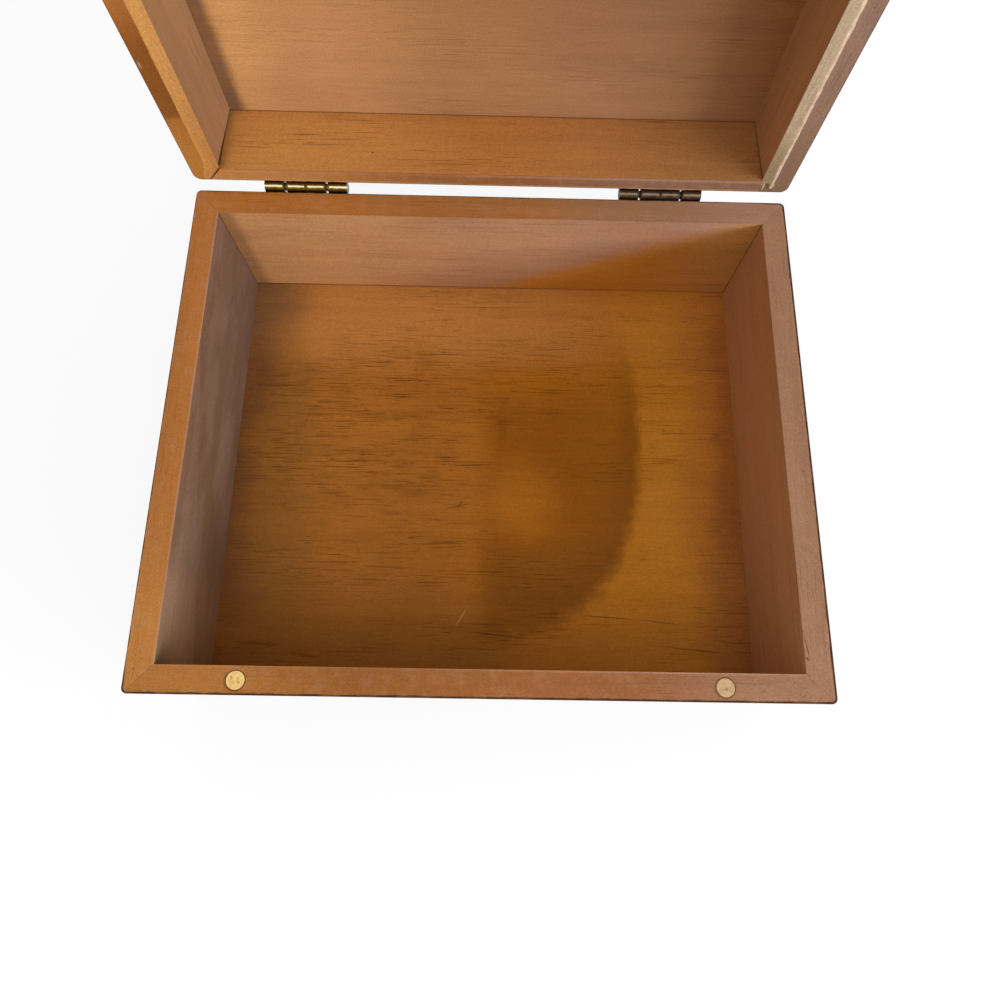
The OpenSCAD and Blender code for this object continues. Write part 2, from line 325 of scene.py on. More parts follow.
# Start, end, width and strength of each dark scratch on the floor
FLOOR_SCRATCHES = [
    ((-10.3, -64.9), (17.4, -67.4), 0.7, 0.6), ((35, -58.5), (58, -59.8), 0.7, 0.6),
    ((56, -59.5), (76.3, -61.8), 0.6, 0.5), ((63.4, -69.3), (91.9, -71.9), 0.8, 0.5),
    ((-17.7, -18.7), (-4.5, -15.2), 0.6, 0.5), ((-12, -20), (-9, -13), 0.5, 0.45),
]


def floor_tints_and_painted_light(g, place):
    """Colour of the floor under its marks, with painted light on a pale band at the back and painted shade
    in the rear left corner and in front.
    """
    x, y = g.split(place)[:2]
    colour = blend_along(g, wander(g, x, place, 40, 40, 4.0), FLOOR_TINTS_AND_SHADE)
    # Painted light on a pale band at the back of the floor
    back = g.soft(wander(g, y, place, 30, 26, 5.0), 34, 56)
    right_end = g.soft(x, 70, 20, 0.25, 1.0)
    left_end = g.soft(wander(g, x, place, 18, 14, 7.0), -98, -72, 0.1, 1.0)
    colour = g.tint(colour, tone(208, 140, 71), g.product(back, right_end, left_end), 0.8)
    # Painted shade in the rear left corner
    corner = g.spot(place, (-94, 76, FLOOR_Z), (26, 42, 60), 0.9, wobble=0.5, wobble_size=16, seed=5.0)
    colour = g.tint(colour, tone(144, 102, 64), corner, 0.8)
    # Painted shadow of the front wall over the front of the floor
    front = g.soft(wander(g, y, place, 34, 16, 6.0), -44, -72)
    return g.tint(colour, tone(147, 91, 22), front, g.soft(x, 30, -10, 0.45, 0.85))


def floor_painted_shadow(g, place, colour):
    """Painted shadow, sharp along its curved right edge and fading to the left and the back."""
    x, y = g.split(place)[:2]
    inputs = {"Vector": place, "Location": (*SHADOW_CENTRE, FLOOR_Z),
              "Rotation": (0, 0, math.radians(SHADOW_TURN)), "Scale": (*SHADOW_RADII, 100)}
    unit = g.node("Mapping", inputs, vector_type="TEXTURE").outputs[0]
    powers = [g.math("POWER", g.math("ABSOLUTE", part), SHADOW_POWER) for part in g.split(unit)[:2]]
    reach = wander(g, g.math("POWER", g.math("ADD", *powers), 1 / SHADOW_POWER), place, 5, 0.06, 8.0)
    left_end = g.soft(wander(g, x, place, 9, 4, 10.0), -8, 6)
    # The mask below is that of the painted shadow, and the tones laid with it are painted shade
    stain = g.product(g.soft(reach, 1.025, 0.965), left_end, g.soft(y, 68, 8))
    for centre, radii in SHADOW_GAPS:
        unshaded = g.spot(place, (*centre, FLOOR_Z), (*radii, 60), 0.8, wobble=0.35, wobble_size=14, seed=9.0)
        stain = g.math("MULTIPLY", stain, g.math("SUBTRACT", 1.0, unshaded))
    colour = g.tint(colour, tone(160, 93, 4), stain, 0.85)
    colour = g.tint(colour, tone(140, 88, 12), stain, g.soft(y, -24, -46, 0, 0.5))
    outer = g.math("MULTIPLY", stain, g.soft(reach, 0.84, 0.97))
    return g.tint(colour, tone(132, 72, 4), outer, 0.35)


def floor_grime(g, place, colour, grime):
    """Blots and smudges of dirt, and dark veins of the wood, mostly left of the middle."""
    blots = g.soft(g.noise(place, (12, 5, 8), detail=5, seed=15.0), 0.46, 0.7)
    colour = g.tint(colour, SMUDGE, g.math("MULTIPLY", blots, grime), 0.22)
    streaks = g.soft(g.noise(place, (9, 0.8, 9), detail=2, seed=16.0), 0.35, 0.65, 0.45, 1.0)
    veins = g.soft(g.noise(place, (13, 0.36, 9), detail=1, seed=17.0), 0.6, 0.66)
    patches = g.soft(g.noise(place, (22, 6, 9), detail=3, seed=18.0), 0.36, 0.58, 0.2, 1.0)
    veined = g.spot(place, (-42, 14, FLOOR_Z), (74, 52, 60), 0.6, wobble=0.4, wobble_size=20, seed=19.0)
    veined = g.math("ADD", g.math("MULTIPLY", veined, 0.8), 0.1)
    colour = g.tint(colour, VEIN, g.product(veins, patches, veined), 0.85)
    for centre, radii, turn, strength in FLOOR_SMUDGES:
        blot = g.spot(place, (*centre, FLOOR_Z), (*radii, 50), 0.95, (0, 0, turn), 0.9, 5, centre[0])
        colour = g.tint(colour, SMUDGE, g.math("MULTIPLY", blot, streaks), strength)
    return colour


def floor_marks(g, place):
    """Tints with painted light and shade, the curved painted shadow, smudges and scratches on the base's
    floor.
    """
    x, y = g.split(place)[:2]
    # The floor's tints with painted light and shade, under its painted shadow
    colour = floor_painted_shadow(g, place, floor_tints_and_painted_light(g, place))
    # Reddish painted shade beside each side wall, towards the front
    for side, strength in ((-1, 0.25), (1, 0.5)):
        centre = (side * 97, -56, FLOOR_Z)
        red = g.spot(place, centre, (20, 60, 60), 0.9, wobble=0.4, wobble_size=12, seed=11.0)
        colour = g.tint(colour, tone(152, 98, 56), red, strength)
    grime = g.spot(place, (-45, 10, FLOOR_Z), (58, 60, 60), 0.7, wobble=0.5, wobble_size=25, seed=3.0)
    colour = floor_grime(g, place, colour, grime)
    for start, end, width, strength in FLOOR_SCRATCHES:
        line = g.scratch(place, (*start, FLOOR_Z), (*end, FLOOR_Z), width)
        colour = g.tint(colour, SCRATCH, line, strength)
    pale = g.scratch(place, (-6.1, -55.7, FLOOR_Z), (-11, -64, FLOOR_Z), 0.6)
    colour = g.tint(colour, tone(214, 160, 96), pale, 0.6)
    edge = g.soft(y, BASE_BACK_IN - 0.8, BASE_BACK_IN)
    colour = g.tint(colour, JOINT, edge, g.soft(x, 99, -30, 0.25, 0.55))
    return colour, g.math("ADD", g.math("MULTIPLY", grime, 0.2), 0.4)


def left_wall_shadow(g, place, wall, width, colour, strength):
    """A painted shadow of a left wall, a mottled grey strip beside it."""
    inward = g.math("SUBTRACT", g.split(place)[0], wall)
    # Painted shadow beside the wall, with a soft uneven edge
    strip = g.soft(wander(g, inward, place, 10, 2.6, 31.0), width + 2.4, width - 2.4)
    mottled = g.soft(g.noise(place, (9, 9, 9), detail=3, seed=37.0), 0.4, 0.6)
    grey = g.mix(mottled, tone(106, 78, 64), tone(120, 84, 56))
    return g.tint(colour, grey, strip, strength)


def base_back_marks(g, place):
    """Pale back board of the base. Its lower right part, under a slanting border, is painted orange, the
    shadow of the right wall. A painted shadow of the left wall lies along its left end.
    """
    x, z = g.split(place)[::2]
    across = wander(g, x, place, 30, 20, 7.0)
    stops = [(-80, tone(208, 152, 100)), (0, tone(190, 141, 104)), (70, tone(178, 134, 110))]
    colour = blend_along(g, across, stops)
    rosy = g.soft(g.noise(place, (40, 40, 7), detail=3, seed=32.0), 0.45, 0.62)
    colour = g.tint(colour, tone(196, 134, 92), rosy, 0.35)
    # The slanting border is the edge of the right wall's painted shadow
    start_x = 4
    rise = (RIM_Z - FLOOR_Z) / (BASE_SIDE_IN - start_x)
    slope = g.math("MULTIPLY", g.math("SUBTRACT", x, start_x), rise)
    lift = g.math("SUBTRACT", g.math("SUBTRACT", z, FLOOR_Z), slope)
    right_wall_shadow = g.soft(wander(g, lift, place, 12, 7, 6.0), 8, -4)
    orange = blend_along(g, x, [(60, tone(208, 134, 36)), (96, tone(202, 144, 72))])
    colour = g.tint(colour, orange, right_wall_shadow, 0.9)
    # Painted shadow of the left wall
    colour = left_wall_shadow(g, place, -BASE_SIDE_IN, 5.0, colour, 0.5)
    seam = g.math("MULTIPLY", g.soft(z, FLOOR_Z + 0.6, FLOOR_Z + 0.1), 0.35)
    return g.mix(seam, colour, JOINT), 0.2


def base_left_marks(g, place):
    """Wall painted greyish mauve for the cool light that falls on it, paler above a border that rises
    towards the back and with painted shade below it.
    """
    y, z = g.split(place)[1:]
    along_y = wander(g, y, place, 30, 16, 12.0)
    border = g.math("ADD", g.math("MULTIPLY", g.math("ADD", y, HALF_D), 0.27), FLOOR_Z + 13)
    above = g.math("SUBTRACT", wander(g, z, place, 30, 4, 14.0), border)
    upper = g.soft(above, -1, 1)
    high = blend_along(g, along_y, [(-74, tone(164, 130, 100)), (-40, tone(124, 95, 76))])
    stops = [(-74, tone(154, 112, 78)), (-34, tone(112, 83, 62)), (60, tone(113, 86, 70))]
    low = blend_along(g, along_y, stops)
    # Painted shade below the border
    colour = g.mix(upper, low, high)
    clouds = g.noise(place, (30, 30, 12), detail=4, seed=33.0)
    colour = g.mix(g.soft(clouds, 0.45, 0.66, 0, 0.3), colour, tone(146, 116, 104))
    # Painted shade in the front top corner of the wall
    centre = (-BASE_SIDE_IN, -84, RIM_Z)
    corner = g.spot(place, centre, (10, 34, 14), 0.9, wobble=0.3, wobble_size=10, seed=34.0)
    return g.tint(colour, tone(96, 76, 60), corner, 0.7), 0.2


def lid_panel_marks(g, place):
    """Lid panel, painted paler towards the left and the back where more light falls on it, with a painted
    shadow beside the left wall.
    """
    x, y = g.split(place)[:2]
    across = wander(g, x, place, 40, 26, 17.0)
    # Painted light, paler towards the left
    stops = [(-90, tone(221, 164, 104)), (-66, tone(198, 142, 90)), (-10, tone(168, 116, 74)),
             (50, tone(158, 110, 76)), (76, tone(160, 110, 70)), (94, tone(162, 108, 60))]
    # Painted light, paler towards the back
    colour = g.mix(g.soft(y, 40, 80, 0, 0.28), blend_along(g, across, stops), tone(196, 147, 106))
    # Painted shadow of the left wall
    colour = left_wall_shadow(g, place, -LID_SIDE_IN, 5.4, colour, 0.84)
    return colour, 0.16


def lid_back_marks(g, place):
    """Inside face of the lid's back board, with a painted shadow beside the left wall."""
    x, z = g.split(place)[::2]
    across = wander(g, x, place, 40, 26, 18.0)
    stops = [(-80, tone(214, 154, 84)), (0, tone(200, 133, 70)), (80, tone(184, 128, 74))]
    colour = blend_along(g, across, stops)
    # Painted shadow of the left wall
    colour = left_wall_shadow(g, place, -LID_SIDE_IN, 2.4, colour, 0.5)
    speck = g.spot(place, (-43.5, LID_BACK_IN, 60), (0.5, 2, 0.5), 0.5)
    colour = g.tint(colour, PORE, speck, 0.8)
    seam = g.math("MULTIPLY", g.soft(z, LID_PANEL_Z - 0.8, LID_PANEL_Z - 0.2), 0.6)
    return g.mix(seam, colour, JOINT), 0.4


def mitre_line(g, place, corner, side_run, end_run, width):
    """1 along the joint on a rim, from an inner corner outwards. The runs are its reach along X and Y."""
    x, y = g.split(place)[:2]
    over_x = g.math("DIVIDE", g.math("SUBTRACT", g.math("ABSOLUTE", x), corner[0]), side_run)
    over_y = g.math("DIVIDE", g.math("SUBTRACT", y, corner[1]), end_run)
    across = g.math("MULTIPLY", g.math("SUBTRACT", over_x, over_y), min(abs(side_run), abs(end_run)))
    line = g.soft(g.math("ABSOLUTE", across), width, width * 0.4)
    return g.math("MULTIPLY", line, g.soft(over_y, -0.05, 0.0))


def rim_mottle(g, place, colour, strength):
    """Pale clouds and small dark specks, as on end-worn rims."""
    clouds = g.noise(place, (4, 4, 4), detail=5, seed=40.0)
    colour = g.mix(g.soft(clouds, 0.46, 0.7, 0, 0.16), colour, tone(200, 148, 112))
    specks = g.noise(place, (1.1, 0.6, 1.1), detail=3, seed=41.0)
    gathered = g.soft(g.noise(place, (9, 4, 9), detail=2, seed=42.0), 0.4, 0.62)
    dark = g.math("MULTIPLY", g.soft(specks, 0.6, 0.72), gathered)
    return g.tint(colour, tone(104, 60, 34), dark, strength)


def base_joints(g, place, colour):
    """Mottle, and faint joint lines at the four corners, on the base's rim."""
    colour = rim_mottle(g, place, colour, 0.4)
    corners = ((BASE_BACK_IN, HALF_D - BASE_BACK_IN), (BASE_FRONT_IN, -HALF_D - BASE_FRONT_IN))
    for corner_y, reach in corners:
        line = mitre_line(g, place, (BASE_SIDE_IN, corner_y), HALF_W - BASE_SIDE_IN, reach, 0.22)
        colour = g.tint(colour, JOINT, line, 0.18)
    return colour


def base_front_rim(g, place):
    """Front rim of the base, with painted sheen greying it towards the right and a ring of painted shade
    round each magnet.
    """
    x, y = g.split(place)[:2]
    across = wander(g, x, place, 30, 16, 19.0)
    # Pinkish grey towards the right: painted sheen of the light from the right
    stops = [(-90, tone(192, 124, 58)), (-30, tone(160, 99, 46)), (40, tone(162, 101, 58)),
             (90, tone(172, 123, 92))]
    colour = blend_along(g, across, stops)
    # A ring of painted shade round each magnet, standing in for the gap round its disc
    for side, strength in ((-1, 0.6), (1, 0.45)):
        ring = g.spot(place, (side * MAGNET_X - 0.18, MAGNET_Y - 0.08, RIM_Z),
                      (MAGNET_R + 0.8, MAGNET_R + 0.7, 4), 0.16)
        colour = g.tint(colour, DISC_GAP_SHADE, ring, strength)
    worn = g.soft(wander(g, y, place, 4, 0.6, 43.0), BASE_FRONT_IN - 0.8, BASE_FRONT_IN - 0.2)
    colour = g.tint(colour, tone(204, 156, 126), worn, g.soft(x, -40, 60, 0.1, 0.5))
    rough = g.soft(g.noise(place, (3, 1.2, 3), detail=4, seed=34.0), 0.56, 0.7, 0, 0.4)
    colour = g.tint(colour, tone(118, 74, 52), rough, g.soft(x, 50, 90))
    return base_joints(g, place, colour)


def base_back_rim(g, place):
    across = wander(g, g.split(place)[0], place, 30, 16, 20.0)
    # Pinkish grey towards the right: painted sheen of the light from the right
    stops = [(-90, tone(188, 118, 52)), (10, tone(176, 116, 64)), (60, tone(172, 126, 92)),
             (90, tone(174, 130, 104))]
    return base_joints(g, place, blend_along(g, across, stops))


def base_left_rim(g, place):
    """Left rim of the base, with a painted highlight along its inner edge."""
    x, y = g.split(place)[:2]
    colour = blend_along(g, y, [(-80, tone(198, 131, 64)), (-20, tone(186, 117, 54))])
    # The pale band along the inner edge is a painted highlight
    worn = g.soft(wander(g, x, place, 6, 0.5, 35.0), -BASE_SIDE_IN - 0.7, -BASE_SIDE_IN - 0.2)
    colour = g.tint(colour, tone(196, 150, 118), worn, 0.5)
    return base_joints(g, place, colour)


# Start, end, width and strength of each crack and dent on the right rim of the base
RIM_CRACKS = [
    ((99.4, -67.0), (101.0, -77.0), 0.45, 0.8), ((99.2, -75.0), (100.8, -76.4), 0.7, 0.9),
    ((98.6, -66.0), (99.6, -76.0), 0.35, 0.5), ((99.0, -80.2), (100.6, -81.2), 0.5, 0.7),
]


def base_right_rim(g, place):
    """Right rim of the base, pinkish grey with painted sheen of the light from the right, and with the
    dents near its front end.
    """
    # Pinkish grey tone: painted sheen of the light from the right
    colour = tone(166, 121, 91)
    for start, end, width, strength in RIM_CRACKS:
        line = g.scratch(place, (*start, RIM_Z), (*end, RIM_Z), width)
        colour = g.tint(colour, tone(74, 38, 22), line, strength)
    return base_joints(g, place, colour)


def raw_band(g, place, seed, colour, raw, edge, smudge, spread=0.0):
    """Flat rim band outside, bare wood on the bevel inside it, with a ragged border between."""
    x, y = g.split(place)[:2]
    inward = g.math("SUBTRACT", RIM_FLAT_X, g.math("ABSOLUTE", x))
    inward = g.math("ADD", inward, g.soft(y, LID_BACK_IN - 4, HALF_D, 0, spread))
    ragged = g.noise(place, (2.0, 5, 2.0), detail=5, seed=seed)
    thick = g.noise(place, (2.0, 3, 2.0), detail=3, seed=seed + 9)
    inward = g.math("ADD", inward, g.sway(ragged, 0.8))
    fuzz = g.noise(place, (0.5, 1.1, 0.5), detail=3, seed=seed + 3)
    bare = g.mix(1.0, raw, g.soft(fuzz, 0.3, 0.7, 1.04, 0.86), "MULTIPLY")
    patches = g.noise(place, (1.8, 9, 1.8), detail=4, seed=seed + 5)
    bare = g.mix(g.soft(patches, 0.52, 0.68, 0, 0.4), bare, smudge)
    colour = g.mix(g.soft(inward, -0.1, 0.15), colour, bare)
    inner = g.math("ADD", inward, g.sway(thick, 1.4))
    border = g.math("MULTIPLY", g.soft(inward, -0.25, 0.0), g.soft(inner, 1.0, 0.4))
    return g.tint(colour, edge, border, g.soft(thick, 0.36, 0.56, 1.0, 0.72))


def torn_end(g, place, banded, flat):
    """Back end of the right rim's bare band, torn off short of the joint and with two splinters."""
    x, y = g.split(place)[:2]
    reach = g.soft(x, RIM_FLAT_X - 2.2, RIM_FLAT_X - 0.8, LID_BACK_IN + 1.4, LID_BACK_IN + 3.2)
    past_end = g.math("SUBTRACT", wander(g, y, place, 1.2, 2.4, 33.0), reach)
    colour = g.mix(g.soft(past_end, -0.3, 0.3), banded, flat)
    centre = (100.1, 86.2, LID_RIM_Z)
    chipped = g.spot(place, centre, (1.5, 1.9, 3), 0.9, wobble=1.1, wobble_size=1.1, seed=4.0)
    colour = g.tint(colour, tone(96, 64, 38), chipped, 0.7)
    splinters = (((98.75, 86.4), (0.35, 2.6), 0.85), ((102.4, 85.8), (0.3, 1.0), 0.7))
    for centre, radii, strength in splinters:
        splinter = g.spot(place, (*centre, LID_RIM_Z), (*radii, 3), 0.6, wobble=0.3, wobble_size=0.8)
        colour = g.tint(colour, tone(210, 172, 136), splinter, strength)
    return colour


def lid_joints(g, place, colour, strength):
    """Joint lines at the four corners of the lid's rim, clearest at the back."""
    back = HALF_D - LID_BACK_IN
    front = HALF_D + LID_FRONT_IN
    line = mitre_line(g, place, (LID_SIDE_IN, LID_BACK_IN), back, back, 0.42)
    colour = g.tint(colour, JOINT, line, strength)
    line = mitre_line(g, place, (LID_SIDE_IN, LID_FRONT_IN), front, -front, 0.22)
    return g.tint(colour, JOINT, line, 0.3)


def lid_front_rim(g, place):
    across = wander(g, g.split(place)[0], place, 30, 16, 38.0)
    stops = [(-90, tone(188, 124, 64)), (20, tone(162, 106, 60)), (90, tone(150, 108, 80))]
    return lid_joints(g, place, blend_along(g, across, stops), 0.3)


def lid_back_band(g, place):
    """Back band of the lid's rim, pale along its outer edge and worn along its inner one."""
    x, y = g.split(place)[:2]
    across = wander(g, x, place, 30, 16, 22.0)
    stops = [(-90, tone(198, 134, 74)), (-10, tone(153, 97, 53)), (70, tone(136, 99, 78))]
    colour = blend_along(g, across, stops)
    colour = g.mix(g.soft(y, HALF_D - 1.0, HALF_D - 0.3, 0, 0.5), colour, tone(206, 158, 116))
    colour = rim_mottle(g, place, colour, 0.5)
    inner = g.soft(wander(g, y, place, 3, 1.0, 44.0), LID_BACK_IN + 1.6, LID_BACK_IN + 0.6)
    return g.tint(colour, tone(206, 156, 128), inner, g.soft(x, -60, 60, 0.1, 0.35))


def lid_left_band(g, place):
    """Left band of the lid's rim, with a dark stain outside, a small painted highlight and bare wood on its
    bevel.
    """
    y = g.split(place)[1]
    stops = [(20, tone(182, 110, 52)), (50, tone(164, 100, 38)), (80, tone(184, 120, 50))]
    colour = blend_along(g, y, stops)
    stain = g.soft(wander(g, y, place, 5, 7, 23.0), 64, 61)
    stain = g.math("MULTIPLY", stain, g.soft(y, 20, 40, 0.15, 1.0))
    colour = g.tint(colour, tone(134, 76, 20), stain, 0.85)
    # Painted highlight, a small pale glint on the outer band
    glint = g.spot(place, (-107, 43.5, LID_RIM_Z), (0.7, 1.8, 2), 0.9, wobble=0.9, wobble_size=1.2)
    colour = g.tint(colour, tone(214, 176, 130), glint, 0.5)
    bare = g.mix(g.soft(y, 40, 76), tone(216, 154, 84), tone(202, 138, 74))
    return raw_band(g, place, 24.0, colour, bare, tone(208, 146, 78), tone(204, 140, 74), 2.4)


def lid_right_band(g, place):
    """Right band of the lid's rim, with a pale bare bevel that ends torn."""
    y = g.split(place)[1]
    flat = g.mix(g.soft(y, 50, 80), tone(142, 108, 88), tone(130, 96, 74))
    bare = g.mix(g.soft(y, 55, 78), tone(197, 169, 138), tone(160, 134, 102))
    banded = raw_band(g, place, 26.0, flat, bare, tone(232, 202, 174), tone(150, 134, 104))
    return torn_end(g, place, banded, flat)


def lid_rim(g, place):
    """Rim of the lid. The left band meets the back one at a joint, the right one runs to the rear edge."""
    x, y = g.split(place)[:2]
    sides = g.mix(g.soft(x, -1, 1), lid_left_band(g, place), lid_right_band(g, place))
    lean = g.soft(x, -1, 1, 1.0, 0.0)
    over = g.math("SUBTRACT", g.math("ABSOLUTE", x), LID_SIDE_IN)
    over = g.math("SUBTRACT", over, g.math("MULTIPLY", g.math("SUBTRACT", y, LID_BACK_IN), lean))
    colour = g.mix(g.soft(over, -0.08, 0.08), lid_back_band(g, place), sides)
    return lid_joints(g, place, colour, g.soft(x, -1, 1, 0.9, 0.1))


def exterior_colour(g, place, grain, seed, edge):
    """Dark finish of the outside, worn through to the wood along its edges."""
    figure = g.noise(place, along(grain, 60, 1.6), detail=4, seed=seed + 61)
    colour = g.mix(g.soft(figure, 0.35, 0.7), EXTERIOR, EXTERIOR_LIGHT)
    colour = g.mix(g.soft(edge, 0.9, 0.4, 0, 0.75), colour, EXTERIOR_EDGE)
    rubbed = g.noise(place, along(grain, 7, 1.6), detail=4, seed=seed + 67)
    near = g.soft(wander(g, edge, place, 3, 1.4, seed + 69), 0.8, 0.2)
    worn = g.math("MULTIPLY", near, g.soft(rubbed, 0.5, 0.62))
    return g.tint(colour, EXTERIOR_WORN, worn, 0.8)


def arris_width(g, place, lid):
    """Width of the dark line that the outside finish leaves along the rim's outer edge, in millimetres."""
    if lid:
        return 0.2
    x, y = g.split(place)[:2]
    wider = g.math("MAXIMUM", g.soft(x, 96, 106), g.soft(y, -80, -86))
    return g.math("ADD", 0.28, g.math("MULTIPLY", wider, 0.36))


def plain(shade):
    """Marks of a board whose wall has one tone."""
    return lambda g, place: (shade, 0.25)


def open_joint(g, place, colour, width, lid):
    """Dark line where a side board meets the back board. The lid's opens towards its rim."""
    x, y, z = g.split(place)
    back_in = LID_BACK_IN if lid else BASE_BACK_IN
    wall_x = LID_SIDE_IN if lid else BASE_SIDE_IN
    opened = g.soft(z, LID_PANEL_Z, LID_RIM_Z, 0.3, width) if lid else width
    from_back = g.math("SUBTRACT", back_in, y)
    seam = g.soft(g.math("SUBTRACT", from_back, opened), 0.1, -0.1)
    on_wall = g.soft(g.math("ABSOLUTE", x), wall_x + 0.5, wall_x + 0.3)
    return g.tint(colour, SCRATCH if lid else JOINT, g.math("MULTIPLY", seam, on_wall), 0.95)


def board(name, grain, marks, rim, seed, lid=False, joint=0.4):
    """Wood of one board or panel: its wall, its rim and the dark finish outside."""
    g = Graph(bpy.data.materials.new(name))
    place = g.place(lid)
    bright, pores, height = wood_figure(g, place, grain, seed)
    colour, pore_share = marks(g, place)
    if grain == "y":
        colour = open_joint(g, place, colour, joint, lid)
    if rim:
        # Depth that counts as rim. The bevels of the lid's side rims slope further away from it.
        rim_reach = 0.85 if lid and grain == "y" else 0.35
        on_rim = g.soft(from_rim(g, g.split(place)[2], lid), rim_reach, rim_reach - 0.2)
        colour = g.mix(on_rim, colour, rim(g, place))
        pores = g.math("MULTIPLY", pores, g.math("SUBTRACT", 1.0, g.math("MULTIPLY", on_rim, 0.5)))
    colour = g.mix(1.0, colour, bright, "MULTIPLY")
    colour = g.tint(colour, PORE, pores, pore_share)
    depth, edge = outer_distance(g, place, lid)
    ragged = g.sway(g.noise(place, along(grain, 4, 2), detail=4, seed=seed + 71), 0.7)
    past = g.math("SUBTRACT", g.math("ADD", depth, ragged), arris_width(g, place, lid))
    outside = g.soft(past, 0.1, -0.1)
    colour = g.mix(outside, colour, exterior_colour(g, place, grain, seed, edge))
    rough = g.math("ADD", g.soft(outside, 0, 1, 0.6, 0.42), g.soft(pores, 0, 1, 0, 0.15))
    coat = g.math("MULTIPLY", outside, g.soft(edge, 0.5, 1.2, 0, 0.28))
    return g.finish(colour, rough, height, specular_ior_level=0.16, coat_weight=coat, coat_roughness=0.3)


# Where the painted highlight runs on the barrels, in degrees round the hinge axis, with the lid open
BARREL_HIGHLIGHT = 127

# Distance from the hinge axis at which the barrel's tone gives way to that of the leaves and screws
BARREL_END = 2.5


def hinge_brass(side, part, bright, middle, dark, plate, roughness, mottle, seed):
    """Aged brass with a painted highlight along each knuckle and painted shade beside it, and its own tone
    on the leaves and screws.
    """
    low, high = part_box(f"hinge_{side}_base_leaf")
    middle_x = (low.x + high.x) / 2 / MM
    knuckle = (high.x - low.x) / 4 / MM
    g = Graph(bpy.data.materials.new(f"hinge_{side}_{part}"))
    place = g.place(False)
    x, y, z = g.split(place)
    over_y = g.math("SUBTRACT", y, AXIS.y)
    over_z = g.math("SUBTRACT", z, AXIS.z)
    turn = g.math("ARCTAN2", over_z, over_y)
    fine = g.noise(place, (1.6, 0.3, 0.3), detail=4, seed=seed)
    off_highlight = g.math("ABSOLUTE", g.math("SUBTRACT", turn, math.radians(BARREL_HIGHLIGHT)))
    off_highlight = g.math("ADD", off_highlight, g.sway(fine, 0.25))
    blotch = g.soft(g.noise(place, (1.8,) * 3, detail=4, seed=seed + 5), 0.4, 0.66)
    # Painted shade on the barrel away from its highlight
    shade = g.mix(g.soft(off_highlight, 1.2, 0.2), dark, middle)
    shade = g.tint(shade, dark, blotch, mottle)
    line = g.soft(off_highlight, 0.22, 0.06)
    # The painted highlight stops short of the gaps between the four knuckles
    for knuckle_end, half in ((-knuckle, 0.9), (0, 0.45), (knuckle, 0.9)):
        off = g.math("ABSOLUTE", g.math("SUBTRACT", x, middle_x + knuckle_end))
        line = g.math("MULTIPLY", line, g.soft(off, half, half + 0.3))
    shade = g.mix(line, shade, bright)
    squares = [g.math("MULTIPLY", over, over) for over in (over_y, over_z)]
    far = g.math("SQRT", g.math("ADD", *squares))
    on_plate = g.soft(far, BARREL_END - 0.2, BARREL_END + 0.2)
    shade = g.mix(on_plate, shade, g.tint(plate, HINGE_TARNISH, blotch, 0.4))
    rough = g.soft(blotch, 0, 1, roughness, roughness + 0.15)
    return g.finish(shade, rough, g.math("MULTIPLY", fine, 0.01), metallic=1.0)


def magnet_brass(name, colour, dark, marks, seed, lid):
    """Worn brass face. marks are the dull spots: centre from the magnet's middle, radii and strength."""
    g = Graph(bpy.data.materials.new(name))
    place = g.place(lid)
    fine = g.noise(place, (0.35, 0.35, 0.35), detail=3, seed=seed)
    cloud = g.noise(place, (1.7, 1.7, 1.7), detail=3, seed=seed + 5)
    shade = g.mix(g.soft(cloud, 0.45, 0.7, 0, 0.35), colour, dark)
    shade = g.mix(g.soft(fine, 0.5, 0.75, 0, 0.3), shade, dark)
    side = 1 if "right" in name else -1
    for centre, radii, strength in marks:
        at = (side * MAGNET_X + centre[0], MAGNET_Y + centre[1], RIM_Z)
        spot = g.spot(place, at, (*radii, 9), 0.8, wobble=0.7, wobble_size=0.8, seed=centre[0])
        shade = g.tint(shade, dark, spot, strength)
    middle = (side * MAGNET_X, MAGNET_Y, 0)
    flat = g.vector("MULTIPLY", g.vector("SUBTRACT", place, middle), (1, 1, 0))
    # Painted shade of the gap round the disc, on its outer band
    shade = g.mix(g.soft(g.vector("LENGTH", flat), MAGNET_R - 0.2, MAGNET_R), shade, DISC_GAP_SHADE)
    rough = g.soft(cloud, 0.3, 0.7, 0.3, 0.45)
    return g.finish(shade, rough, g.math("MULTIPLY", fine, 0.012), metallic=1.0)


def paint(names, material):
    for name in names:
        slots = nodes[name].data.materials
        slots.clear()
        slots.append(material)


def base_materials():
    right_wall = plain(tone(184, 130, 84))
    front_wall = plain(tone(172, 112, 60))
    paint(["base_left_board"], board("base_left_wood", "y", base_left_marks, base_left_rim, 3.1))
    paint(["base_right_board"], board("base_right_wood", "y", right_wall, base_right_rim, 8.7))
    paint(["base_front_board"], board("base_front_wood", "x", front_wall, base_front_rim, 14.2))
    paint(["base_back_board"], board("base_back_wood", "x", base_back_marks, base_back_rim, 21.9))
    paint(["base_bottom_panel"], board("base_floor_wood", "x", floor_marks, None, 27.3))


def lid_materials():
    left_wall = plain(tone(154, 114, 80))
    right_wall = plain(tone(182, 130, 86))
    front_wall = plain(tone(176, 118, 66))
    paint(["lid_left_board"], board("lid_left_wood", "y", left_wall, lid_rim, 33.1, True, 1.6))
    paint(["lid_right_board"], board("lid_right_wood", "y", right_wall, lid_rim, 38.7, True, 0.7))
    paint(["lid_front_board"], board("lid_front_wood", "x", front_wall, lid_front_rim, 44.2, True))
    paint(["lid_back_board"], board("lid_back_wood", "x", lid_back_marks, lid_rim, 51.9, True))
    paint(["lid_top_panel"], board("lid_panel_wood", "x", lid_panel_marks, None, 57.3, True))


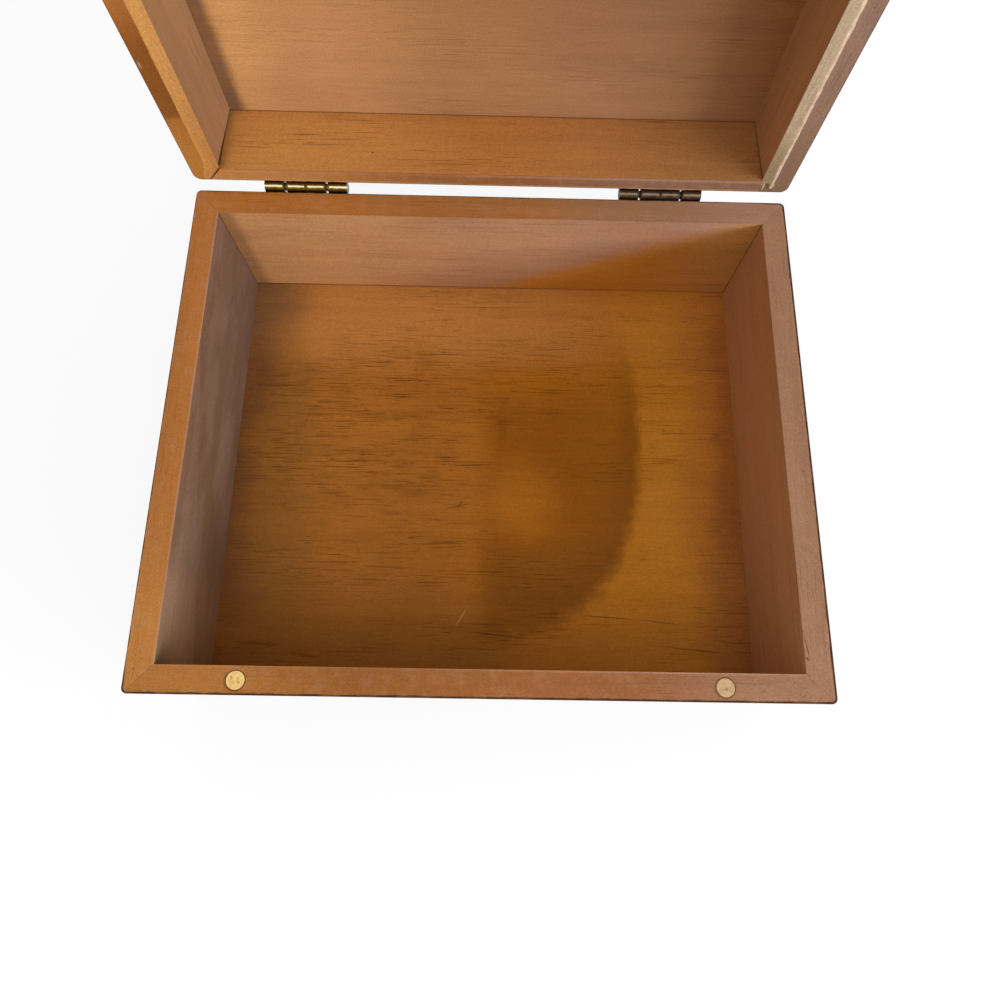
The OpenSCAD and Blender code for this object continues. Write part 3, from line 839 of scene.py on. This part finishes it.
def hinge_materials():
    # Tones of the painted highlight, of the brass beside it and of the painted shade, bright on the left
    # hinge and faint on the right one
    left = (tone(255, 238, 186), tone(116, 90, 36), tone(44, 30, 10))
    right = (tone(136, 120, 98), tone(84, 68, 52), tone(42, 30, 24))
    finishes = (("left", left, 0.25, 0.4, 5.0), ("right", right, 0.42, 0.65, 9.0))
    for side, shades, roughness, mottle, seed in finishes:
        own = [n for n in nodes if n.startswith(f"hinge_{side}")]
        paint(own, hinge_brass(side, "brass", *shades, HINGE_PLATE, roughness, mottle, seed))
        screw = hinge_brass(side, "screw_brass", *shades, HINGE_SCREW, 0.35, 0.4, seed + 2)
        paint([n for n in own if n.endswith("screws")], screw)


# Share of the radius and depth below the face of each ring of a disc, from the middle to the back
DISC_RINGS = [(k / 14, 0.0) for k in range(1, 13)]
DISC_RINGS += [(0.925, 0.0), (0.965, 0.02), (0.99, 0.05), (1.0, 0.12)]
DISC_RINGS += [(1.0, MAGNET_DEPTH - 0.1), (0.96, MAGNET_DEPTH)]

# Depth down to which a disc is sunk and dented, and how far its face lies below the rim
DENTED_DEPTH = 0.3
FACE_SINK = 0.02

DISC_SIDES = 72


def disc_height(x, y, depth, dents, seed):
    """Height of a point of a ring at this depth, with the dents and a faint unevenness."""
    if depth > DENTED_DEPTH:
        return -depth
    low = depth + FACE_SINK
    for dent_x, dent_y, radius, press in dents:
        far = math.hypot(x - dent_x, y - dent_y) / radius
        low += press * math.exp(-far * far)
    low += 0.006 * math.sin(5.1 * x + seed) * math.sin(4.3 * y - seed)
    return -low


def disc_outline(seed):
    """Radii of the disc's slightly uneven outline round its middle, as shares of the full one."""
    rand = random.Random(seed)
    lobes = [(rand.uniform(0, math.tau), rand.uniform(0.001, 0.004), k) for k in (2, 3, 5, 8)]
    shares = []
    for k in range(DISC_SIDES):
        angle = math.tau * k / DISC_SIDES
        shares.append(1 - sum(size * (1 + math.sin(n * angle + phase)) for phase, size, n in lobes))
    return shares


def magnet_mesh(name, seed, dents):
    """Disc with its outer face up, built round its own middle, in millimetres.

    dents are (x, y, radius, depth) pressed into the face.
    """
    bm = bmesh.new()
    middle = bm.verts.new((0, 0, disc_height(0, 0, 0, dents, seed)))
    outline = disc_outline(seed)
    last = None
    for share, depth in DISC_RINGS:
        ring = []
        for k, wavy in enumerate(outline):
            angle = math.tau * k / DISC_SIDES
            radius = (MAGNET_R + DISC_OVER) * share * (1 + (wavy - 1) * share)
            x, y = radius * math.cos(angle), radius * math.sin(angle)
            ring.append(bm.verts.new((x, y, disc_height(x, y, depth, dents, seed))))
        for k in range(DISC_SIDES):
            after = (k + 1) % DISC_SIDES
            outer = (ring[k], ring[after])
            bm.faces.new((last[k], *outer, last[after]) if last else (middle, *outer))
        last = ring
    bm.faces.new(tuple(reversed(last)))
    bmesh.ops.recalc_face_normals(bm, faces=bm.faces)
    mesh = bpy.data.meshes.new(name)
    bm.to_mesh(mesh)
    bm.free()
    for polygon in mesh.polygons:
        polygon.use_smooth = len(polygon.vertices) < 5
    return mesh


def add_magnets():
    """A detailed disc for each catch magnet, in the pocket of its board."""
    left_dents = [(-1.3, 0.9, 0.45, 0.09), (1.0, -0.7, 0.55, 0.11), (0.9, 0.3, 0.8, 0.05)]
    left_marks = [((-1.3, 0.8), (0.6, 0.9), 0.75), ((1.0, -0.6), (0.6, 0.5), 0.9),
                  ((0.8, 0.4), (0.7, 0.9), 0.5)]
    right_dents = [(0.2, -0.3, 0.55, 0.12), (-0.9, 0.5, 0.7, 0.04)]
    right_marks = [((0.15, -0.35), (0.75, 0.8), 0.7), ((-1.0, -0.6), (0.8, 0.5), 0.35)]
    finishes = {
        "left": (tone(240, 200, 132), tone(170, 126, 52), left_dents, left_marks),
        "right": (tone(206, 170, 130), tone(128, 100, 54), right_dents, right_marks),
    }
    for side, (colour, dark, dents, marks) in finishes.items():
        sign = 1 if side == "right" else -1
        for body in ("base", "lid"):
            name = f"{body}_catch_disc_{side}"
            mesh = magnet_mesh(name, sign + (3 if body == "lid" else 7), dents)
            brass = magnet_brass(name + "_brass", colour, dark, marks, 3.0 + sign, body == "lid")
            mesh.materials.append(brass)
            piece = bpy.data.objects.new(name, mesh)
            bpy.context.scene.collection.objects.link(piece)
            spot = Matrix.Translation((sign * MAGNET_X, MAGNET_Y, MAGNET_Z))
            if body == "lid":
                spot = Matrix.Translation((sign * MAGNET_X, MAGNET_Y, LID_MAGNET_Z))
                spot = TO_SHUT.inverted() @ spot @ Matrix.Rotation(math.pi, 4, "Y")
            mesh.transform(Matrix.Scale(MM, 4) @ spot)
            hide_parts(f"{body}_magnet_{side}")
            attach(piece, body)


def soften_edges():
    """A small bevel on every CAD node, as the real edges have."""
    for name, obj in nodes.items():
        wooden = "board" in name or "panel" in name
        bevel = obj.modifiers.new("edge", "BEVEL")
        bevel.width = (0.2 if wooden else 0.12) * MM
        bevel.segments = 3 if wooden else 2
        bevel.limit_method = "ANGLE"
        bevel.angle_limit = math.radians(35)
        bevel.harden_normals = False
        for polygon in obj.data.polygons:
            polygon.use_smooth = False


def show_floor():
    """Pale floor that reads as white to the camera and keeps the object's shadow."""
    side = 3.0
    below = -0.0001
    mesh = bpy.data.meshes.new("floor")
    corners = [(-side, -side), (side, -side), (side, side), (-side, side)]
    mesh.from_pydata([(x, y, below) for x, y in corners], [], [(0, 1, 2, 3)])
    floor = bpy.data.objects.new("floor", mesh)
    bpy.context.scene.collection.objects.link(floor)
    g = Graph(bpy.data.materials.new("floor_white"))
    matt = g.node("BsdfDiffuse", {"Color": tone(225, 225, 225)})
    white = g.node("Emission", {"Color": (1, 1, 1, 1), "Strength": 1.13})
    share = g.math("MULTIPLY", g.seen(), 0.75)
    mesh.materials.append(g.end(g.node("MixShader", {0: share, 1: matt.outputs[0], 2: white.outputs[0]})))


def light_world():
    """White surroundings, weaker as light on the box than the camera and reflections see them."""
    world = bpy.data.worlds.new("studio")
    bpy.context.scene.world = world
    g = Graph(world)
    strength = g.node("MapRange", {"Value": g.seen(), "To Min": 0.66, "To Max": 1.0}).outputs[0]
    g.end(g.node("Background", {"Color": (1, 1, 1, 1), "Strength": strength}), "OutputWorld")


def lamp(name, place, width, height, watts, colour):
    """Soft rectangular lamp that faces the box."""
    data = bpy.data.lights.new(name, "AREA")
    data.shape = "RECTANGLE"
    data.size = width
    data.size_y = height
    data.energy = watts
    data.color = colour
    obj = bpy.data.objects.new(name, data)
    obj.location = place
    aim = Vector((0, 0, 0.06)) - Vector(place)
    obj.rotation_euler = aim.to_track_quat("-Z", "Y").to_euler()
    bpy.context.scene.collection.objects.link(obj)


def add_camera():
    """Camera at the photo's place and angle, fitted to the box's corners in the photo."""
    place = Vector((0.00251, -0.08773, 0.27059))
    target = Vector((0.00531, -0.01280, 0.0))
    roll = math.radians(3.1)
    data = bpy.data.cameras.new("camera")
    data.sensor_width = 36
    data.lens = 25.34
    data.clip_start = 0.01
    camera = bpy.data.objects.new("camera", data)
    camera.location = place
    camera.rotation_mode = "QUATERNION"
    aim = (target - place).to_track_quat("-Z", "Y")
    camera.rotation_quaternion = aim @ Euler((0, 0, roll)).to_quaternion()
    bpy.context.scene.collection.objects.link(camera)
    bpy.context.scene.camera = camera


bpy.context.scene.view_settings.view_transform = "Standard"
base_materials()
lid_materials()
hinge_materials()
add_magnets()
soften_edges()
show_floor()
light_world()
lamp("key", place=(1.06, -0.56, 0.38), width=1.0, height=0.35, watts=14.0, colour=(0.94, 0.98, 1.0))
add_camera()
